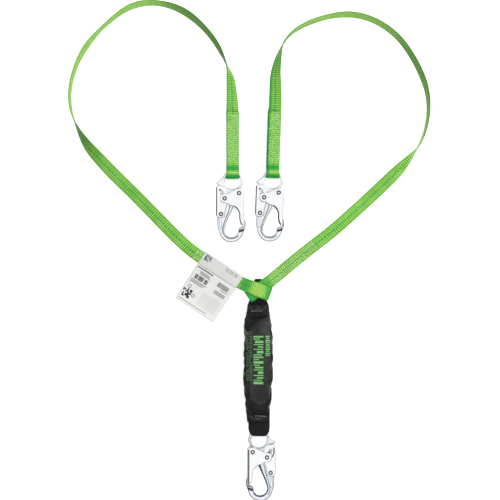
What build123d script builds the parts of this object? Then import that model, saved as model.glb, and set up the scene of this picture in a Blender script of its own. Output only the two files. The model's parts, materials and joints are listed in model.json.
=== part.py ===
from build123d import *
from math import acos, atan2, cos, degrees, hypot, pi, radians, sin, tan
import os

# Twin-leg shock absorbing lanyard, laid out flat on its back, millimetres.
# +Z is up from the surface it lies on, +Y runs from the harness hook to the leg hooks.
# The origin is under the middle of the hooks, the absorber and the label.

os.makedirs("parts", exist_ok=True)

# webbing
webbing_width = 25.4
webbing_thickness = 2.4
layer_gap = 0.3

# snap hook: its own frame has the eye centre at the origin, the nose on +X, the webbing on +Y
hook_middle_height = 10.0
eye_radius = 16.1
eye_rim = 6.1
eye_thickness = 7.2
blade_thickness = 10.0
bowl_centre = (-2.5, -100.4)
bowl_radius = 14.0
bowl_rim = 25.5
inner_bevel = 1.2
nose_top = -94.5
gate_pivot = (13.1, -24.6)
gate_opening = 22.0
gate_sheet = 1.6
gate_inner_half = 7.0
gate_edge = 24.2
gate_tip = -93.3
gate_wall_top = -30.0
lock_pin = (-16.4, -35.4)
lock_lobe_radius = 9.8
pin_radius = 2.5
pin_slot = 5.9
lever_pivot = (-23.8, -67.5)
lever_travel = 6.0
lever_sheet = 1.4
lever_inner_half = 5.3
lever_back = -34.2
lever_wall_ends = (-70.0, -12.0)
rivet_radius = 2.7
rivet_hole = 2.85
rivet_head_radius = 4.7
rivet_head = 1.4
rivet_dimple_radius = 1.9
rivet_dimple = 0.6
rivet_bevel = 0.5
spring_wire = 1.2
spring_radius = 5.9
spring_pitch = 1.55
spring_turns = 3
boss_radius = 4.0
pocket_radius = 7.5
pocket_floor = -1.0
side_play = 0.2
lever_spring_wire = 0.9
lever_spring_radius = 2.6
lever_spring_y = -20.0
lever_spring_pitch = 1.3
lever_spring_turns = 2.5

# webbing loop in a hook's eye
hook_loop_reach = 16.1
hook_loop_inner = 7.6
hook_loop_neck = 27.0
hook_end_length = 129.0

# where each hook lies: eye centre, turn about Z in degrees, which face is up
left_hook_eye = (1.9, 317.2)
right_hook_eye = (84.3, 318.7)
right_hook_turn = -2.0
harness_hook_eye = (56.3, -215.0)

# junction of the two legs and the absorber's top loop
junction = (54.4, 93.7)
junction_height = 9.5
left_loop_angle = -21.3
left_sewn_angle = -33.3
right_loop_angle = 218.2
right_sewn_angle = 218.2
loop_bend = 40.0
loop_past_junction = 28.0
loop_flat = 21.0
loop_neck = 36.0
junction_end_length = 181.0

# absorber pack
pack_centre_x = 54.3
pack_top = 64.5
pack_bottom = -178.0
cover_wall = 1.2
cover_corner = 0.385
top_loop_width = 16.0
top_loop_rise = 22.6
top_loop_neck = 23.5
top_loop_closed = 30.0
loop_tail = 42.0
core_width = 40.0
core_layers = 7
core_top = 14.0
core_bottom = -122.0
core_start = 40.5
tab_ramp = (5.0, 18.0)
tab_length = 34.0

# identification label
sleeve_start = 1.0
sleeve_length = 94.0
sleeve_inner_width = 28.4
sleeve_inner_height = 5.6
sleeve_wall = 0.8
panel_reach = 84.0
panel_hinge_rise = 4.7
panel_drop = 8.9
panel_thickness = 0.8
panel_clearance = 0.6
label_corner = 2.4

# routes of the two free legs, from the sewn end at the junction to the sewn end at the hook
left_route = [(-106, 187), (-140, 228), (-197, 287), (-253, 341), (-312, 405), (-343, 486), (-321, 574),
              (-269, 641), (-195, 690), (-109, 680), (-41, 622), (-3, 549), (1, 500)]
right_route = [(196, 206), (234, 237), (293, 291), (350, 345), (397, 399), (408, 484), (382, 561),
               (335, 630), (259, 667), (177, 658), (108, 619), (89, 551), (90, 505)]
leg_height = 13.0
left_twists = (280, 360, 905, 965)
right_twists = (225, 295, 800, 880)
station_spacing = 14.0
end_ramp = 80.0


def write(solid, name):
    solid.label = name
    export_step(solid, f"parts/{name}.step")


def hook_plane(eye, turn=0.0, face_up=1):
    """The hook's mid-plane; face_up of -1 turns the hook over about its length."""
    across = (face_up * cos(radians(turn)), face_up * sin(radians(turn)), 0)
    return Plane(origin=(eye[0], eye[1], hook_middle_height), x_dir=across, z_dir=(0, 0, face_up))


def turned(point, about, angle):
    """A point of the hook after a turn of angle degrees about another point."""
    dx, dy = point[0] - about[0], point[1] - about[1]
    c, s = cos(radians(angle)), sin(radians(angle))
    return (about[0] + c * dx - s * dy, about[1] + s * dx + c * dy)


def tangent_point(radius, u, v):
    """Where a line from (u, v) touches the upper side of a circle about the origin."""
    angle = atan2(v, u) + acos(radius / hypot(u, v))
    return (radius * cos(angle), radius * sin(angle))


# ---------------------------------------------------------------- snap hook

def make_hook_body(place):
    """Forged body: eye, spine, bowl and nose, with the slot that the lock pin travels in."""
    bx, by = bowl_centre
    pin_arm = hypot(lock_pin[0] - gate_pivot[0], lock_pin[1] - gate_pivot[1])
    pin_angle = degrees(atan2(lock_pin[1] - gate_pivot[1], lock_pin[0] - gate_pivot[0])) % 360
    with BuildPart() as body:
        with BuildSketch(place):
            with BuildLine():
                FilletPolyline((-20, 8), (-35, -4), (-26.5, -11), (-31, -66), (-31.5, -80), radius=2)
                ThreePointArc((-31.5, -80), (-30.7, -94), (-26.5, -109))
                ThreePointArc((-26.5, -109), (-16, -122.2), (bx, by - bowl_rim))
                ThreePointArc((bx, by - bowl_rim), (15.5, -118.3), (23, -104.5))
                Polyline((23, -104.5), (27, -93), (27.1, -85), (25.9, -79), (24.7, -79), (24.7, nose_top),
                         (17, nose_top))
                ThreePointArc((17, nose_top), (bx + 15.1, by + 3.2), (bx + bowl_radius, by))
                ThreePointArc((bx + bowl_radius, by), (bx, by - bowl_radius), (bx - bowl_radius, by))
                Polyline((bx - bowl_radius, by), (bx - bowl_radius, by + 4), (-14.8, -92), (-11.4, -82),
                         (-5.6, -69), (0, -56.5), (5, -46), (13, -33.8))
                ThreePointArc((13, -33.8), (22.3, -24.6), (13, -15.4))
                Line((13, -15.4), (-20, 8))
            make_face()
        extrude(amount=blade_thickness / 2, both=True)
        rims = body.edges().filter_by(GeomType.CIRCLE).filter_by(
            lambda e: abs(e.radius - bowl_radius) < 0.01)
        chamfer(rims, length=inner_bevel)
        with BuildSketch(place):
            Circle(eye_radius + eye_rim)
        extrude(amount=eye_thickness / 2, both=True)
        with BuildSketch(place):
            Circle(eye_radius)
        extrude(amount=blade_thickness, both=True, mode=Mode.SUBTRACT)
        with BuildSketch(place):
            with Locations(gate_pivot):
                Circle(boss_radius)
        extrude(amount=gate_inner_half - side_play, both=True)
        with BuildSketch(place.offset(pocket_floor)):
            with Locations(gate_pivot):
                Circle(pocket_radius)
                Circle(boss_radius, mode=Mode.SUBTRACT)
        extrude(amount=blade_thickness, mode=Mode.SUBTRACT)
        with BuildSketch(place):
            with Locations(gate_pivot, lever_pivot):
                Circle(rivet_hole)
            with BuildLine():
                travel = CenterArc(gate_pivot, pin_arm, pin_angle, -gate_opening)
            trace(line_width=pin_slot)
            with Locations(travel @ 0, travel @ 1):
                Circle(pin_slot / 2)
        extrude(amount=blade_thickness, both=True, mode=Mode.SUBTRACT)
    return body.part


def make_gate(place):
    """Gate: two cheeks joined by the outer wall, swinging in from the nose."""
    px, py = lock_pin
    with BuildPart() as gate:
        with BuildSketch(place.offset(gate_inner_half)):
            with BuildLine():
                Polyline((gate_edge, -17.5), (22.4, -15.9), (12, -14.8), (px + 3.3, py + 9.23))
                ThreePointArc((px + 3.3, py + 9.23), (px - lock_lobe_radius, py), (px + 2.2, py - 9.55))
                Polyline((px + 2.2, py - 9.55), (-8.5, -47.6), (-5.6, -49.7), (3.2, -52.1), (11, -59.4),
                         (13.4, -67.3), (13.4, -77), (15.9, -86.8), (18.8, -90.7), (19.8, gate_tip),
                         (gate_edge, gate_tip), (gate_edge, -17.5))
            make_face()
            with Locations(gate_pivot):
                Circle(rivet_hole, mode=Mode.SUBTRACT)
            with Locations(lock_pin):
                Circle(pin_radius, mode=Mode.SUBTRACT)
        extrude(amount=gate_sheet)
        mirror(about=place)
        with BuildSketch(place.offset(-gate_inner_half)):
            with Locations((gate_edge - gate_sheet / 2, (gate_wall_top + gate_tip) / 2)):
                Rectangle(gate_sheet, gate_wall_top - gate_tip)
        extrude(amount=2 * gate_inner_half)
    return gate.part


def lock_pin_in_lever(share):
    """The lock pin's centre as the lever sees it, at a share of the gate's travel."""
    on_hook = turned(lock_pin, gate_pivot, -share * gate_opening)
    return turned(on_hook, lever_pivot, share * lever_travel)


def make_lock_lever(place):
    """Lock lever: a channel round the spine, slotted for the lock pin."""
    wall_low, wall_high = lever_wall_ends
    steps = [lock_pin_in_lever(k / 6) for k in range(-2, 9)]
    with BuildPart() as lever:
        with BuildSketch(place.offset(lever_inner_half)):
            with BuildLine():
                FilletPolyline((lever_back, wall_high), (-31, -8), (-19, -9.5), (-10, -16), (-8.4, -38),
                               (-15, -60), (-16, -73), (-27, -76.5), (lever_back, wall_low), radius=1.5)
                Line((lever_back, wall_low), (lever_back, wall_high))
            make_face()
            with BuildLine():
                Spline(*steps)
            trace(line_width=pin_slot, mode=Mode.SUBTRACT)
            with Locations(lever_pivot):
                Circle(rivet_hole, mode=Mode.SUBTRACT)
        extrude(amount=lever_sheet)
        mirror(about=place)
        with BuildSketch(place.offset(-lever_inner_half)):
            with Locations((lever_back + lever_sheet / 2, (wall_low + wall_high) / 2)):
                Rectangle(lever_sheet, wall_high - wall_low)
        extrude(amount=2 * lever_inner_half)
    return lever.part


def make_rivet(place, centre, shaft, half_length):
    """A headed pin with dimpled ends, centred on the hook's mid-plane."""
    with BuildPart() as rivet:
        with BuildSketch(place):
            with Locations(centre):
                Circle(shaft)
        extrude(amount=half_length, both=True)
        with BuildSketch(place.offset(half_length)):
            with Locations(centre):
                Circle(rivet_head_radius)
        extrude(amount=rivet_head)
        rims = rivet.edges().filter_by(GeomType.CIRCLE).filter_by(
            lambda e: abs(e.radius - rivet_head_radius) < 0.01)
        chamfer(rims.sort_by(Axis(place.origin, place.z_dir))[-1], length=rivet_bevel)
        with BuildSketch(place.offset(half_length + rivet_head)):
            with Locations(centre):
                Circle(rivet_dimple_radius)
        extrude(amount=-rivet_dimple, mode=Mode.SUBTRACT)
        mirror(about=place)
    return rivet.part


def make_gate_spring(place):
    """Torsion coil in the body's pocket, round the boss of the gate pivot."""
    seat = place.from_local_coords((*gate_pivot, pocket_floor + spring_wire / 2 + side_play))
    with BuildPart() as spring:
        with BuildLine():
            coil = Helix(pitch=spring_pitch, height=spring_turns * spring_pitch,
                         radius=spring_radius, center=seat, direction=place.z_dir)
        with BuildSketch(Plane(origin=coil @ 0, z_dir=coil % 0)):
            Circle(spring_wire / 2)
        sweep(path=coil, is_frenet=True)
    return spring.part


def make_lever_spring(place):
    """Compression coil between the spine and the back of the lock lever."""
    start = lever_back + lever_sheet + lever_spring_wire / 2 + side_play / 2
    seat = place.from_local_coords((start, lever_spring_y, 0))
    with BuildPart() as spring:
        with BuildLine():
            coil = Helix(pitch=lever_spring_pitch, height=lever_spring_turns * lever_spring_pitch,
                         radius=lever_spring_radius, center=seat,
                         direction=place.x_dir)
        with BuildSketch(Plane(origin=coil @ 0, z_dir=coil % 0)):
            Circle(lever_spring_wire / 2)
        sweep(path=coil, is_frenet=True)
    return spring.part


def write_hook(prefix, place):
    gate_outer_half = gate_inner_half + gate_sheet
    lever_outer_half = lever_inner_half + lever_sheet
    write(make_hook_body(place), f"{prefix}_body")
    write(make_gate(place), f"{prefix}_gate")
    write(make_lock_lever(place), f"{prefix}_lock_lever")
    write(make_rivet(place, gate_pivot, rivet_radius, gate_outer_half), f"{prefix}_gate_pivot_rivet")
    write(make_rivet(place, lock_pin, pin_radius, gate_outer_half), f"{prefix}_lock_pin")
    write(make_rivet(place, lever_pivot, rivet_radius, lever_outer_half), f"{prefix}_lever_pivot_rivet")
    write(make_gate_spring(place), f"{prefix}_gate_spring")
    write(make_lever_spring(place), f"{prefix}_lever_spring")


left_hook = hook_plane(left_hook_eye)
right_hook = hook_plane(right_hook_eye, turn=right_hook_turn)
harness_hook = hook_plane(harness_hook_eye, face_up=-1)
write_hook("left_hook", left_hook)
write_hook("right_hook", right_hook)
write_hook("harness_hook", harness_hook)


# ---------------------------------------------------------------- webbing

def side_plane(origin, angle):
    """Vertical plane along a strap: x runs along the strap at angle, y is up."""
    along = (cos(radians(angle)), sin(radians(angle)), 0)
    across = (sin(radians(angle)), -cos(radians(angle)), 0)
    return Plane(origin=origin, x_dir=along, z_dir=across)


def hook_loop_profile(plane, length):
    """Round eye about the plane's origin, closing to two sewn layers that run to length."""
    outer = hook_loop_inner + webbing_thickness
    near = tangent_point(outer, hook_loop_neck, webbing_thickness)
    inside = tangent_point(hook_loop_inner, hook_loop_neck - 1, 0.01)
    with BuildSketch(plane) as profile:
        with BuildLine():
            Polyline(near, (hook_loop_neck, webbing_thickness), (length, webbing_thickness),
                     (length, -webbing_thickness), (hook_loop_neck, -webbing_thickness),
                     (near[0], -near[1]))
            ThreePointArc((near[0], -near[1]), (-outer, 0), near)
        make_face()
        with BuildLine():
            Polyline(inside, (hook_loop_neck - 1, 0), (inside[0], -inside[1]))
            ThreePointArc((inside[0], -inside[1]), (-hook_loop_inner, 0), inside)
        make_face(mode=Mode.SUBTRACT)
    return profile.sketch


def flat_loop_profile(plane, reach, half_height, flat, neck, length):
    """Flattened eye that reaches past the plane's origin along +x, sewn to length along -x."""
    inner = half_height - webbing_thickness
    centre = reach - half_height
    with BuildSketch(plane) as profile:
        with BuildLine():
            Polyline((centre, half_height), (-flat, half_height), (-neck, webbing_thickness),
                     (-length, webbing_thickness), (-length, -webbing_thickness),
                     (-neck, -webbing_thickness), (-flat, -half_height), (centre, -half_height))
            ThreePointArc((centre, -half_height), (reach, 0), (centre, half_height))
        make_face()
        with BuildLine():
            Polyline((centre, inner), (-flat, inner), (1 - neck, 0), (-flat, -inner), (centre, -inner))
            ThreePointArc((centre, -inner), (centre + inner, 0), (centre, inner))
        make_face(mode=Mode.SUBTRACT)
    return profile.sketch


def route_radii(points):
    """As large an arc at each corner as its two runs allow."""
    radii = []
    for before, corner, after in zip(points, points[1:], points[2:]):
        into, out = Vector(corner) - Vector(before), Vector(after) - Vector(corner)
        half_turn = radians(into.get_angle(out)) / 2
        radii.append(0.45 * min(into.length, out.length) / tan(half_turn))
    return radii


def smooth_share(value, low, high):
    """0 below low, 1 above high, eased between them."""
    t = min(max((value - low) / (high - low), 0), 1)
    return t * t * (3 - 2 * t)


def bend_point(loop_angle):
    """Where a leg's sewn end turns a little on its way out of the junction."""
    return (junction[0] - loop_bend * cos(radians(loop_angle)),
            junction[1] - loop_bend * sin(radians(loop_angle)))


def make_leg(name, eye, hook_angle, loop_angle, sewn_angle, half_height, route, twists):
    """One leg: sewn loop at the hook, free stretch that turns on edge and back, sewn loop at the
    junction."""
    hook_dir = Vector(cos(radians(hook_angle)), sin(radians(hook_angle)))
    sewn_dir = Vector(cos(radians(sewn_angle)), sin(radians(sewn_angle)))
    bend = bend_point(loop_angle)
    hook_axis = Vector(*eye) + hook_dir * hook_loop_reach
    sewn_length = junction_end_length - loop_past_junction - loop_bend
    start = Vector(*bend) - sewn_dir * sewn_length
    finish = hook_axis + hook_dir * hook_end_length
    points = [start] + [Vector(x, y) for x, y in route] + [finish]
    radii = route_radii(points)
    with BuildLine(mode=Mode.PRIVATE) as line:
        FilletPolyline(*points, radius=radii)
    path = line.wires()[0]
    if (path @ 0 - start).length > 1:
        path = path.reversed()
    length = path.length
    count = int(length / station_spacing)
    upper_layer = webbing_thickness / 2
    hook_end = hook_loop_profile(
        side_plane((hook_axis.X, hook_axis.Y, hook_middle_height), hook_angle), hook_end_length)
    junction_end = flat_loop_profile(
        side_plane((*junction, junction_height), loop_angle), loop_past_junction, half_height,
        loop_flat, loop_neck, loop_bend + webbing_thickness)
    with BuildSketch(side_plane((*bend, junction_height), sewn_angle)) as sewn:
        with Locations((-sewn_length / 2, 0)):
            Rectangle(sewn_length, 2 * webbing_thickness)
    with BuildPart() as leg:
        for k in range(count + 1):
            along = length * k / count
            place, heading = path @ (k / count), path % (k / count)
            on_edge = smooth_share(along, twists[0], twists[1]) - smooth_share(along, twists[2], twists[3])
            low = junction_height + upper_layer if along < length / 2 else hook_middle_height + upper_layer
            height = low + (leg_height - low) * smooth_share(min(along, length - along), 0, end_ramp)
            flat_across = Vector(-heading.Y, heading.X, 0)
            across = flat_across * cos(on_edge * pi / 2) + Vector(0, 0, 1) * sin(on_edge * pi / 2)
            with BuildSketch(Plane(origin=(place.X, place.Y, height), x_dir=across, z_dir=heading)):
                Rectangle(webbing_width, webbing_thickness)
        loft(ruled=True)
        stretch = leg.part.volume
        extrude(hook_end, amount=webbing_width / 2, both=True)
        extrude(junction_end, amount=webbing_width / 2, both=True)
        extrude(sewn.sketch, amount=webbing_width / 2, both=True)
    section = webbing_width * webbing_thickness
    print(name, "radii", [round(r) for r in radii], "free length", round(length),
          "volume over section x length", round(stretch / section / length, 3))
    write(leg.part, name)


layer = webbing_thickness + layer_gap
make_leg("left_leg_webbing", left_hook_eye, 90.0, left_loop_angle, left_sewn_angle,
         2 * layer + webbing_thickness / 2, left_route, left_twists)
make_leg("right_leg_webbing", right_hook_eye, 90.0 + right_hook_turn, right_loop_angle,
         right_sewn_angle, layer + webbing_thickness / 2, right_route, right_twists)

# ---------------------------------------------------------------- absorber pack

top_loop_height = junction_height - 1.5 * layer
top_loop_half = 1.5 * layer + webbing_thickness / 2
top_loop_reach = top_loop_rise + top_loop_half
top_tail = junction[1] - pack_top + loop_tail

# top loop, closed round both legs' loops
top_profile = flat_loop_profile(
    side_plane((pack_centre_x, junction[1], top_loop_height), 90.0), top_loop_reach, top_loop_half,
    top_loop_neck, top_loop_closed, top_tail)
with BuildPart() as top_loop:
    extrude(top_profile, amount=top_loop_width / 2, both=True)
write(top_loop.part, "absorber_top_loop")

# bottom loop, through the harness hook's eye
bottom_axis = harness_hook_eye[1] + hook_loop_reach
bottom_tail = pack_bottom + loop_tail - bottom_axis
bottom_profile = hook_loop_profile(
    side_plane((harness_hook_eye[0], bottom_axis, hook_middle_height), 90.0), bottom_tail)
with BuildPart() as bottom_loop:
    extrude(bottom_profile, amount=webbing_width / 2, both=True)
write(bottom_loop.part, "absorber_bottom_loop")

# cover sections from the top end to the bottom end: y, width, height, middle height
cover_sections = [
    (pack_top, 44.0, 10.4, 5.6),
    (pack_top - 16, 48.0, 13.0, 7.2),
    (pack_top - 42, 57.0, 28.0, 14.6),
    (pack_top - 80, 60.0, 33.0, 17.0),
    (pack_top - 150, 60.0, 33.0, 17.0),
    (pack_top - 200, 56.0, 28.0, 15.0),
    (pack_bottom + 16, 50.0, 15.0, 11.0),
    (pack_bottom, 46.0, 13.0, hook_middle_height),
]


def cover_outline(section, inset):
    """One section of the cover, moved in by inset."""
    y, width, height, middle = section
    across = Plane(origin=(pack_centre_x, y, middle), x_dir=(1, 0, 0), z_dir=(0, -1, 0))
    with BuildSketch(across) as outline:
        RectangleRounded(width - 2 * inset, height - 2 * inset, height * cover_corner - inset)
    return outline.sketch


with BuildPart() as cover:
    loft([cover_outline(section, 0) for section in cover_sections])
    loft([cover_outline(section, cover_wall) for section in cover_sections], mode=Mode.SUBTRACT)
write(cover.part, "absorber_cover")

# tear webbing: one strap folded to and fro, its two ends sewn to the tails of the loops
core_low = top_loop_height + webbing_thickness + layer_gap + webbing_thickness / 2
bottom_tab = hook_middle_height + webbing_thickness + layer_gap + webbing_thickness / 2 - core_low
with BuildPart() as tear_webbing:
    with BuildSketch(side_plane((pack_centre_x, 0, core_low), 90.0)):
        with BuildLine():
            Line((core_start, 0), (core_bottom, 0))
            for k in range(1, core_layers):
                level = k * layer
                fold_y, far_y, bulge = (core_bottom, core_top, -layer / 2)
                if k % 2 == 0:
                    fold_y, far_y, bulge = (core_top, core_bottom, layer / 2)
                ThreePointArc((fold_y, level - layer), (fold_y + bulge, level - layer / 2), (fold_y, level))
                Line((fold_y, level), (far_y, level))
            Polyline((core_bottom, level), (core_bottom - tab_ramp[0], level),
                     (core_bottom - tab_ramp[1], bottom_tab), (core_bottom - tab_length, bottom_tab))
        trace(line_width=webbing_thickness)
    extrude(amount=core_width / 2, both=True)
write(tear_webbing.part, "absorber_tear_webbing")

# ---------------------------------------------------------------- label

label_side = side_plane((*bend_point(left_loop_angle), junction_height), left_sewn_angle)
sleeve_outer_height = sleeve_inner_height + 2 * sleeve_wall
with BuildPart() as sleeve:
    with BuildSketch(Plane(origin=label_side.from_local_coords((-sleeve_start, 0, 0)),
                           x_dir=label_side.z_dir, z_dir=-label_side.x_dir)):
        RectangleRounded(sleeve_inner_width + 2 * sleeve_wall, sleeve_outer_height, label_corner)
        RectangleRounded(sleeve_inner_width, sleeve_inner_height, label_corner - sleeve_wall,
                         mode=Mode.SUBTRACT)
    extrude(amount=sleeve_length)
write(sleeve.part, "label_sleeve")

hinge_offset = sleeve_inner_width / 2 + sleeve_wall + panel_clearance
hinge_middle = label_side.from_local_coords(
    (-sleeve_start - sleeve_length / 2, panel_hinge_rise, hinge_offset))
panel_plane = Plane(origin=hinge_middle, x_dir=label_side.x_dir,
                    z_dir=Vector(0, 0, 1).rotate(Axis((0, 0, 0), label_side.x_dir), panel_drop))
with BuildPart() as panel:
    with BuildSketch(panel_plane):
        with Locations((0, -panel_reach / 2)):
            RectangleRounded(sleeve_length, panel_reach, label_corner)
    extrude(amount=panel_thickness)
write(panel.part, "label_panel")
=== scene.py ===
import json
from functools import cache
from math import ceil, cos, pi, radians, sin

import bmesh
import bpy
import numpy as np
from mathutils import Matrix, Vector, noise
from mathutils.bvhtree import BVHTree


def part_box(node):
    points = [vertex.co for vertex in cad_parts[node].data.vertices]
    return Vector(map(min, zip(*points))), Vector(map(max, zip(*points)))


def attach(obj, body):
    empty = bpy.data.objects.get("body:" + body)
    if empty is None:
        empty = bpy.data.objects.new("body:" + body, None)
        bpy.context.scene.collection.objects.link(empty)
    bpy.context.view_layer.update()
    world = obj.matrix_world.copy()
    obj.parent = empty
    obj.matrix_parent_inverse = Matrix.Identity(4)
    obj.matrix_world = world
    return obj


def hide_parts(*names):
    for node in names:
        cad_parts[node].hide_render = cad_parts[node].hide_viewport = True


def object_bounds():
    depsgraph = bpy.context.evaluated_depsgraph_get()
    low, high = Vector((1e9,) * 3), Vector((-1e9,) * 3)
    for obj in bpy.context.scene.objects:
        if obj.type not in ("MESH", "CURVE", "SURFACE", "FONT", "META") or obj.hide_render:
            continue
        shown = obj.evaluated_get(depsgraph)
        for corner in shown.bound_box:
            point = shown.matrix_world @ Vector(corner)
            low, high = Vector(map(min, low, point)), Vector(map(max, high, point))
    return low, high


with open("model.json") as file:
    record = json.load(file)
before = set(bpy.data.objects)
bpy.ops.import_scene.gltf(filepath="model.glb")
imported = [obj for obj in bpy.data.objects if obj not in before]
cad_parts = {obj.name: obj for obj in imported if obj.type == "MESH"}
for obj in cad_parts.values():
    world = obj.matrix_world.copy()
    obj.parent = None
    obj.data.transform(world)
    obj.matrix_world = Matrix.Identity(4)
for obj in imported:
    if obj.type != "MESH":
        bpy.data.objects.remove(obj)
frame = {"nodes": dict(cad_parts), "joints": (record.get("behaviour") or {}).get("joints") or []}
cad_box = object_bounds()
cover_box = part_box("absorber_cover")
joints = {joint["name"]: joint for joint in frame["joints"]}
ROOT = "absorber_and_legs"

# webbing and the sewn loops, as in the CAD model, in metres
WEB_WIDTH = 0.0254
WEB_THICKNESS = 0.0022
LAYER = 0.0027
HOOK_LOOP_RADIUS = 0.0088
HOOK_LOOP_NECK = 0.027
EYE_RADIUS = 0.0161
HOOK_END = 0.129
JUNCTION = Vector((0.0544, 0.0937, 0.0095))
LOOP_REACH = 0.028
JUNCTION_END = 0.181
HOOK_TURNS = {"left": 0.0, "right": -2.0, "harness": 0.0}
LOOP_HALVES = {"left": 2 * LAYER, "right": LAYER}
FLOOR_GAP = 0.0004

# small liberties with the webbing that the photo shows: how much wider each leg's fold is at the junction,
# how far its lower layer strays at the hook, where the junction's stitches start, how far a hook's loop is
# pulled out, and how much lower the gathered top loop sits between the legs than its CAD stand-in
SPREADS = {"left": 0.15, "right": 0.05}
STRAY = {"left": 0.0, "right": 0.0018}
STITCH_START = {"left": 0.068, "right": 0.060}
LOOP_STRETCH = 0.0018
TOP_LOOP_DROP = 0.0055

# painted light along a strap, each as distances from its fold and amounts there: painted shade in deep green
# (shade) and a painted highlight in pale lime (bright) at the junction, then the same at the hook, where a
# bright of SEWN_TONE only marks the stitched stretch
KNOT_SHADES = {"left": ([0.0, 0.006, 0.012, 0.040, 0.048, 0.060, 0.066], [0.9, 0.7, 0.0, 0.0, 0.8, 0.8, 0.0]),
               "right": ([0.0, 0.012, 0.036, 0.052, 0.062], [0.95, 0.9, 0.8, 0.5, 0.0])}
KNOT_LIGHT = {"left": ([0.008, 0.018, 0.034, 0.042], [0.0, 0.65, 0.65, 0.0]),
              "right": ([0.0, 1.0], [0.0, 0.0])}
SEWN_TONE = 0.2
# painted shade on the bight and the slopes of a hook's loop, and a painted highlight on its crest
LOOP_SHADE_BANDS = ([0.0, 0.0070, 0.0085, 0.0145, 0.0160, 0.0230, 0.0250], [1.0, 1.0, 0.0, 0.0, 1.0, 1.0, 0.0])
LOOP_LIGHT = ([0.0075, 0.0100, 0.0130, 0.0155, 0.0260, 0.0280, 0.1250, 0.1280],
              [0.0, 0.8, 0.8, 0.0, 0.0, SEWN_TONE, SEWN_TONE, 0.0])
# a free stretch on edge has a bright below 0, down to this, which paints it paler as painted light on its
# standing face, and the layer under a loop has this much painted shadow
ON_EDGE_TONE = -0.5
UNDER_TONE = -0.9
# how much painted shade each leg has, as a deep green band along one edge near its hook, from this share of
# its length
EDGE_BAND_SHADE = {"left": 0.25, "right": 1.0}
EDGE_BAND_SHADE_START = 0.7


# ---------------------------------------------------------------- camera

def add_to_scene(name, data):
    """A new object that shows data."""
    obj = bpy.data.objects.new(name, data)
    bpy.context.scene.collection.objects.link(obj)
    return obj


def make_camera():
    """Looks straight down at the lanyard, from far enough to see it nearly flat."""
    view_width, aside, above = 1.035, 0.004, 0.0025
    data = bpy.data.cameras.new("camera")
    data.lens = 85
    data.clip_end = 20
    camera = add_to_scene("camera", data)
    distance = view_width / 2 * data.lens / (data.sensor_width / 2)
    low, high = cad_box
    camera.location = ((low.x + high.x) / 2 + aside, (low.y + high.y) / 2 + above, distance)
    bpy.context.scene.camera = camera


# ---------------------------------------------------------------- mesh helpers

def new_object(name, verts, faces, uvs=None, smooth=True):
    """A mesh object from arrays; uvs holds one pair for each vertex."""
    mesh = bpy.data.meshes.new(name)
    mesh.from_pydata([tuple(v) for v in verts], [], [tuple(f) for f in faces])
    if uvs is not None:
        corners = np.empty(len(mesh.loops), np.int32)
        mesh.loops.foreach_get("vertex_index", corners)
        layer = mesh.uv_layers.new(name="UVMap")
        layer.data.foreach_set("uv", np.asarray(uvs, np.float32)[corners].ravel())
    mesh.polygons.foreach_set("use_smooth", [smooth] * len(mesh.polygons))
    mesh.update()
    return add_to_scene(name, mesh)


def loose_quads(name, corners):
    """Separate flat marks as one object, from four corners each."""
    faces = [tuple(range(first, first + 4)) for first in range(0, len(corners), 4)]
    return new_object(name, corners, faces, smooth=False)


def tube_quads(rings, sides, first=0):
    """Faces between rings of points, joined all the way round."""
    faces = []
    for k in range(rings - 1):
        for j in range(sides):
            a, b = first + k * sides + j, first + k * sides + (j + 1) % sides
            faces.append((a, b, b + sides, a + sides))
    return faces


def sheet_quads(rows, columns):
    """Faces between rows of points."""
    starts = [r * columns + c for r in range(rows - 1) for c in range(columns - 1)]
    return [(a, a + 1, a + columns + 1, a + columns) for a in starts]


def unit(rows):
    """Each row at length 1."""
    rows = np.asarray(rows, float)
    return rows / np.maximum(np.linalg.norm(rows, axis=-1, keepdims=True), 1e-12)


def lengths_along(line):
    """The distance of each point from the line's start."""
    steps = np.linalg.norm(np.diff(line, axis=0), axis=1)
    return np.r_[0, np.cumsum(steps)]


def resample(line, spacing, *others):
    """The line at even spacing, and each other array at the same places."""
    along = lengths_along(line)
    even = np.linspace(0, along[-1], int(ceil(along[-1] / spacing)) + 1)
    arrays = []
    for values in (line, *others):
        values = np.asarray(values, float)
        columns = values.reshape(len(values), -1)
        arrays.append(np.stack([np.interp(even, along, column) for column in columns.T], axis=1))
    return even, *arrays


def read_at(place, along, *others):
    """The row of each other array at one distance along a line."""
    return [np.array([np.interp(place, along, column) for column in rows.T]) for rows in others]


def soften(rows, times):
    """Rounds the corners of a line, with its ends kept."""
    rows = np.array(rows, float)
    for _ in range(times):
        rows[1:-1] = rows[1:-1] / 2 + (rows[:-2] + rows[2:]) / 4
    return rows


def strap_section(width, thickness, dish, points=9, crown=0.12, edge=0.35):
    """Half-rounded rectangle, as (across, up) pairs from the left edge over the top and back, with each
    pair's share of the width. The middle is higher by crown, and the edges have a share edge of
    the height."""
    share = np.linspace(0, 1, points)
    inner = (share > 0) & (share < 1)
    up = thickness / 2 * np.where(inner, 1 - crown + crown * np.sin(pi * share * inner) ** 0.5, edge)
    across = (share - 0.5) * width
    sag = dish * (1 - (2 * share - 1) ** 2)
    top = np.stack([across, up + sag], axis=1)
    bottom = np.stack([across[::-1], -up[::-1] + sag[::-1]], axis=1)
    return np.vstack([top, bottom]), np.r_[share, share[::-1]]


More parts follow.
